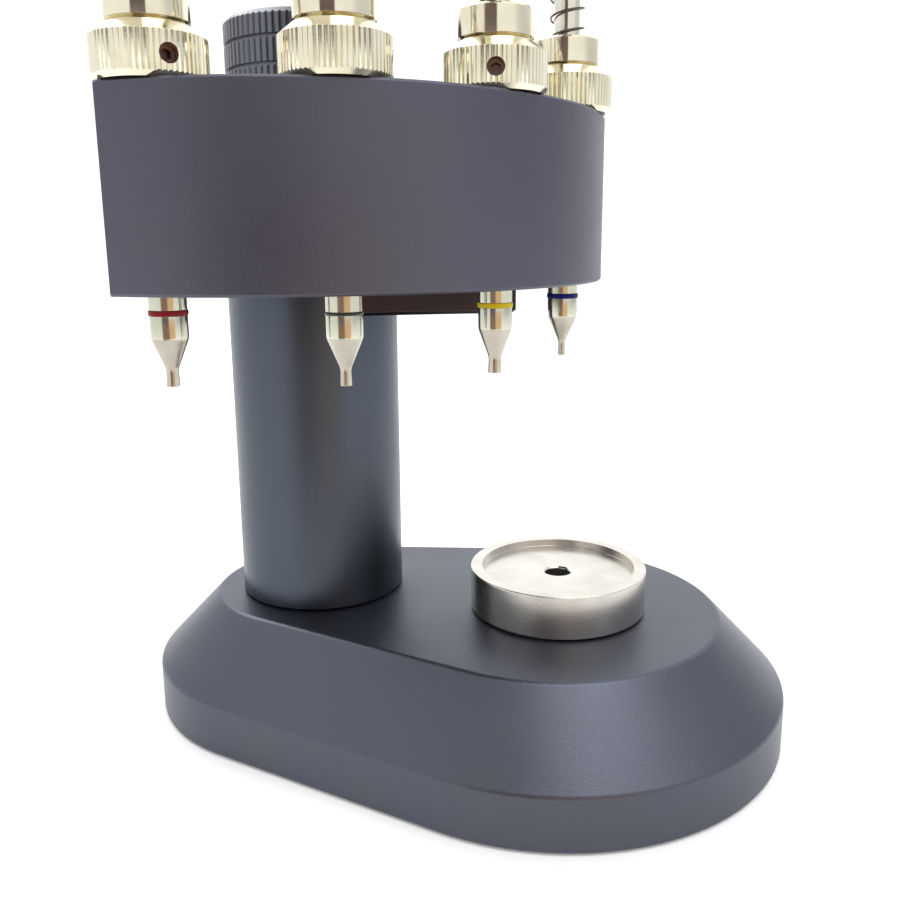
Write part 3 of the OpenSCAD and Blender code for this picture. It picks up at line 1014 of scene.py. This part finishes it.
@dataclass
class Plunger:
    """A guided shaft with its rod, the hollow tip screwed into it, and the colour band between."""

    PIN_R = {
        Station.BLUE: 0.61 * MM, Station.YELLOW: 1.02 * MM, Station.BLACK: 0.78 * MM, Station.RED: 0.91 * MM,
    }

    LOWER_FINISH = {"rod": "shaft_steel", "tip": "satin_steel"}

    station: Station
    shaft_r: float = 2.48 * MM
    rod_r: float = 2.08 * MM
    thread_r: float = 1.73 * MM
    thread_l: float = 3.2 * MM
    shoulder: float = 0.2 * MM
    groove_r: float = 2.08 * MM
    wall: float = 0.45
    hole_l: float = 1.2 * MM
    pin_l: float = 2.3 * MM
    pin_taper: float = 0.9
    cone_l: float = 4.2 * MM
    bush_lip: float = 1.45 * MM
    band_gap: float = 0.02 * MM
    band_edge: float = 0.1 * MM
    shaft_edge: float = 0.06 * MM
    shoulder_edge: float = 0.05 * MM
    end_edge: float = 0.1 * MM
    hole_edge: float = 0.04 * MM
    hole_root: float = 0.03 * MM
    pin_edge: float = 0.09 * MM
    pin_root: float = 0.5 * MM
    cone_root: float = 0.35 * MM

    def shaft(self) -> list[Corner]:
        """Draws the shaft and the rod above it.

        Returns:
            The corners of the outline.
        """
        low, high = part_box(self.station.node("rod"))
        shoulder_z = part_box(self.station.node("bush"))[1].z - self.bush_lip
        spring_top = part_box(self.station.node("spring"))[1].z
        return [
            Corner(0.0, low.z),
            Corner(self.shaft_r, low.z, self.shaft_edge),
            Corner(self.shaft_r, shoulder_z - self.shoulder, self.shoulder_edge),
            Corner(self.shaft_r - self.shoulder, shoulder_z, self.shoulder_edge),
            Corner(self.rod_r, shoulder_z),
            Corner(self.rod_r, spring_top, self.end_edge),
            Corner(self.thread_r, spring_top),
            Corner(self.thread_r, high.z, self.end_edge),
            Corner(0.0, high.z),
        ]

    def tip(self) -> list[Corner]:
        """Draws the hollow tip, its cone and the body above it.

        Returns:
            The corners of the outline.
        """
        low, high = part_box(self.station.node("tip"))
        band_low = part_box(self.station.node("band"))[0].z
        pin_r = self.PIN_R[self.station]
        hole_r = pin_r * (1 - self.wall)
        cone_z = low.z + self.pin_l
        return [
            Corner(0.0, low.z + self.hole_l),
            Corner(hole_r, low.z + self.hole_l, self.hole_root),
            Corner(hole_r, low.z, self.hole_edge),
            Corner(pin_r, low.z, self.pin_edge),
            Corner(pin_r * self.pin_taper, cone_z, self.pin_root),
            Corner(self.shaft_r, cone_z + self.cone_l, self.cone_root),
            Corner(self.shaft_r, band_low, self.shaft_edge),
            Corner(self.groove_r, band_low),
            Corner(self.groove_r, high.z),
            Corner(0.0, high.z),
        ]

    def ring(self) -> list[Corner]:
        """Draws the colour band.

        Returns:
            The corners of the outline, as a closed loop.
        """
        low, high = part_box(self.station.node("band"))
        outer = (high.x - low.x) / 2
        inner = self.groove_r + self.band_gap
        return [
            Corner(inner, low.z),
            Corner(outer, low.z, self.band_edge),
            Corner(outer, high.z, self.band_edge),
            Corner(inner, high.z),
        ]

    def build(self, finishes: Finishes) -> None:
        """Builds the shaft, the tip and the band.

        Args:
            finishes: The finishes.
        """
        axis = axis_of(self.station.node("rod"))
        body = self.station.node("plunger")
        for kind, corners, name, closed, slot in (
            ("rod", self.shaft(), "polished_steel", False, "polished_steel"),
            ("tip", self.tip(), "shaft_steel", False, "polished_steel"),
            ("band", self.ring(), self.station.node("band"), True, self.station.node("band")),
        ):
            sheet = Workshop.turned(corners, axis, steps=96, closed=closed)
            change = self.finish_change(kind)
            for face in sheet.faces:
                face.material_index = int(face.calc_center_median().z < change)
            Workshop.piece(
                sheet, self.station.node(f"turned_{kind}"), body, slot, self.station.node(kind),
                finishes[name], finishes[self.LOWER_FINISH.get(kind, name)],
            )

    def finish_change(self, kind: str) -> float:
        """Finds where a piece changes its finish: the tip above its cone, the rod in the turret.

        Args:
            kind: Kind of piece.

        Returns:
            The height.
        """
        if kind == "tip":
            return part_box(self.station.node("tip"))[0].z + self.pin_l + self.cone_l
        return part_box("turret")[1].z


@dataclass
class PushButton:
    """The plain button that the finger presses."""

    station: Station
    spring_room_r: float = 3.1 * MM
    thread_r: float = 1.75 * MM
    top_edge: float = 1.0 * MM
    low_edge: float = 0.3 * MM
    mouth_edge: float = 0.1 * MM
    end_gap: float = 0.1 * MM

    def corners(self) -> list[Corner]:
        """Draws the button, from the rod's end round to the top.

        Returns:
            The corners of the outline.
        """
        low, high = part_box(self.station.node("button"))
        outer = (high.x - low.x) / 2
        hole_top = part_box(self.station.node("rod"))[1].z + self.end_gap
        spring_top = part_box(self.station.node("spring"))[1].z
        return [
            Corner(0.0, hole_top),
            Corner(self.thread_r, hole_top),
            Corner(self.thread_r, spring_top),
            Corner(self.spring_room_r, spring_top),
            Corner(self.spring_room_r, low.z, self.mouth_edge),
            Corner(outer, low.z, self.low_edge),
            Corner(outer, high.z, self.top_edge),
            Corner(0.0, high.z),
        ]

    def build(self, finishes: Finishes) -> None:
        """Builds the button.

        Args:
            finishes: The finishes.
        """
        place = self.station.node
        sheet = Workshop.turned(self.corners(), axis_of(place("rod")), steps=128)
        Workshop.piece(
            sheet, place("push_button"), place("plunger"), "nickel_plate", place("button"),
            finishes["nickel_plate"],
        )


# ---- Studio ----


@dataclass(frozen=True)
class Card:
    """An upright sheet of coloured card behind the camera, which the metal reflects."""

    name: str
    at: Vector
    width: float
    height: float
    colour: Colour
    turn: float = 0.0


@dataclass(frozen=True)
class Lamp:
    """A soft square lamp that faces the press."""

    name: str
    at: Vector
    size: float
    power: float
    colour: Colour


@dataclass(frozen=True)
class SkyPatch:
    """A soft-edged round part of the surroundings that is brighter or darker than the rest."""

    toward: Vector
    edge: float
    core: float
    colour: Colour


@dataclass(frozen=True)
class Studio:
    """White table, soft surrounding light and the camera."""

    floor_colour: Colour = (0.90, 0.90, 0.90)
    floor_glow: float = 0.15
    floor_half: float = 6.0
    sky: Colour = (1.12, 1.13, 1.15)
    backdrop: Colour = (1.15, 1.15, 1.15)
    patches: tuple[SkyPatch, ...] = (
        SkyPatch(Vector((-0.15, 0.92, 0.36)), math.radians(62), math.radians(18), (1.50, 1.52, 1.52)),
        SkyPatch(Vector((0.93, 0.35, -0.10)), math.radians(48), math.radians(16), (0.78, 0.80, 0.84)),
    )
    cards: tuple[Card, ...] = (
        Card("low_card", Vector((0.036, -0.195, 0.032)), 0.115, 0.085, (0.40, 0.22, 0.15)),
        Card("dark_card", Vector((0.036, -0.195, 0.094)), 0.115, 0.038, (0.17, 0.12, 0.11)),
        Card("window_card", Vector((0.052, -0.195, 0.1245)), 0.085, 0.021, (2.20, 2.24, 2.34)),
        Card("high_card", Vector((0.036, -0.195, 0.1985)), 0.115, 0.123, (0.115, 0.065, 0.055)),
        Card("warm_card", Vector((0.150, -0.172, 0.040)), 0.130, 0.100, (1.15, 0.74, 0.42),
             math.radians(42)),
    )
    lamps: tuple[Lamp, ...] = (
        Lamp("key", Vector((-0.35, 0.20, 0.62)), 0.45, 1.7, (1.0, 0.99, 0.97)),
        Lamp("overhead", Vector((0.22, -0.14, 0.52)), 0.38, 1.15, (0.97, 0.98, 1.0)),
    )
    middle: Vector = Vector((0.03, 0.0, 0.06))
    camera_at: Vector = Vector((0.07037, -0.15048, 0.08534))
    yaw: float = math.radians(15.931)
    tilt: float = math.radians(78.110)
    roll: float = -0.00574
    lens: float = 35.886
    shift: tuple[float, float] = (-0.01099, -0.02549)

    def floor(self) -> None:
        """Lays the table."""
        sheet = bmesh.new()
        bmesh.ops.create_grid(sheet, x_segments=1, y_segments=1, size=self.floor_half)
        graph = Graph(bpy.data.materials.new("white_table"))
        mottle = graph.noise(30.0, 3.0)
        colour = graph.mix(mottle, self.floor_colour, tuple(c * 0.99 for c in self.floor_colour))
        material = graph.surface(
            0.0, Base_Color=colour, Roughness=0.85, Emission_Color=(1.0, 1.0, 1.0),
            Emission_Strength=self.floor_glow,
        )
        Workshop.thing(sheet, "table_top", material)

    def surroundings(self) -> None:
        """Lights the room: white all round, brighter behind the press and dimmer on its right."""
        graph = Graph(bpy.data.worlds.new("soft_room"), "Generated")
        bpy.context.scene.world = graph.owner
        light = self.sky
        for patch in self.patches:
            facing = graph.node("ShaderNodeVectorMath", operation="DOT_PRODUCT")
            facing.inputs[1].default_value = patch.toward.normalized()
            graph.link(graph.coordinates, facing.inputs[0])
            ramp = graph.node("ShaderNodeMapRange", interpolation_type="SMOOTHSTEP")
            ramp.inputs["From Min"].default_value = math.cos(patch.edge)
            ramp.inputs["From Max"].default_value = math.cos(patch.core)
            graph.link(facing.outputs["Value"], ramp.inputs["Value"])
            light = graph.mix(ramp.outputs["Result"], light, patch.colour)
        seen = graph.node("ShaderNodeLightPath").outputs["Is Camera Ray"]
        background = graph.node("ShaderNodeBackground")
        graph.link(graph.mix(seen, light, self.backdrop), background.inputs["Color"])
        output = graph.node("ShaderNodeOutputWorld")
        graph.link(background.outputs["Background"], output.inputs["Surface"])

    @staticmethod
    def card(spec: Card) -> None:
        """Stands one card up.

        Args:
            spec: Its place, size and colour.
        """
        sheet = bmesh.new()
        upright = Matrix.Rotation(math.pi / 2, 4, "X")
        stretch = Matrix.Diagonal((spec.width / 2, spec.height / 2, 1.0, 1.0))
        place = Matrix.Translation(spec.at) @ Matrix.Rotation(spec.turn, 4, "Z") @ upright @ stretch
        bmesh.ops.create_grid(sheet, x_segments=1, y_segments=1, size=1.0, matrix=place)
        graph = Graph(bpy.data.materials.new(spec.name))
        mottle = graph.noise(12.0, 2.0)
        colour = graph.mix(mottle, spec.colour, tuple(c * 0.8 for c in spec.colour))
        material = graph.surface(
            0.0, Base_Color=(0.02, 0.02, 0.02), Roughness=0.9, Emission_Color=colour, Emission_Strength=1.0
        )
        made = Workshop.thing(sheet, spec.name, material)
        made.visible_camera = False

    def lamp(self, spec: Lamp) -> None:
        """Hangs one soft lamp.

        Args:
            spec: Its place, size and light.
        """
        data = bpy.data.lights.new(spec.name, "AREA")
        data.shape = "SQUARE"
        data.size = spec.size
        data.energy = spec.power
        data.color = spec.colour
        made = bpy.data.objects.new(spec.name, data)
        made.location = spec.at
        made.rotation_euler = (self.middle - spec.at).to_track_quat("-Z", "Y").to_euler()
        bpy.context.scene.collection.objects.link(made)

    def camera(self) -> None:
        """Sets up the camera."""
        data = bpy.data.cameras.new("camera")
        data.lens = self.lens
        data.sensor_width = 36.0
        data.shift_x, data.shift_y = self.shift
        data.clip_start, data.clip_end = 0.005, 50.0
        made = bpy.data.objects.new("camera", data)
        turn = (
            Matrix.Rotation(self.yaw, 4, "Z")
            @ Matrix.Rotation(self.tilt, 4, "X")
            @ Matrix.Rotation(self.roll, 4, "Z")
        )
        made.matrix_world = Matrix.Translation(self.camera_at) @ turn
        bpy.context.scene.collection.objects.link(made)
        bpy.context.scene.camera = made

    def build(self) -> None:
        """Builds the whole studio."""
        self.floor()
        for spec in self.cards:
            self.card(spec)
        self.surroundings()
        for spec in self.lamps:
            self.lamp(spec)
        self.camera()
        bpy.context.scene.view_settings.view_transform = "Standard"
        log.info("studio ready")


# ---- The whole press ----


class Press:
    """The press: its rebuilt pieces, and the frame's own nodes in their finishes."""

    PLAIN_NODES = {
        "column_anodised": ("column",),
        "turned_anodised_aluminium": ("turret",),
        "dark_anodised_aluminium": ("index_arm",),
        "knob_anodised": ("clamp_knob",),
        "black_steel": ("column_bolt", "detent_plug"),
        "turned_steel": ("pivot_post", "stop_pin", "detent_ball", "upper_washer"),
        "bronze": ("lower_washer", "pivot_bush"),
    }
    STATION_NODES = {
        "bush": "turned_steel",
        "ring": "nickel_plate",
        "set_screw": "screw_steel",
    }

    def __init__(self) -> None:
        """Builds the finishes."""
        self.finishes = Finishes(axis_of("movement_holder"))

    def dress(self) -> None:
        """Gives the frame's own nodes their finishes."""
        for name, nodes in self.PLAIN_NODES.items():
            for node in nodes:
                self.finishes.dress_node(node, name)
        for station in Station:
            for kind, name in self.STATION_NODES.items():
                self.finishes.dress_node(station.node(kind), name)

    def build(self) -> None:
        """Builds every piece."""
        self.dress()
        Base().build(self.finishes)
        MovementHolder().build(self.finishes)
        CoilSpring.of_detent().build(self.finishes)
        for station in Station:
            CoilSpring.of_station(station).build(self.finishes)
            Plunger(station).build(self.finishes)
            PushButton(station).build(self.finishes)


def main() -> None:
    """Builds the press and its studio."""
    logging.basicConfig(level=logging.INFO, format="%(name)s: %(message)s")
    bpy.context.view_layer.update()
    Studio().build()
    Press().build()


if __name__ == "__main__":
    main()
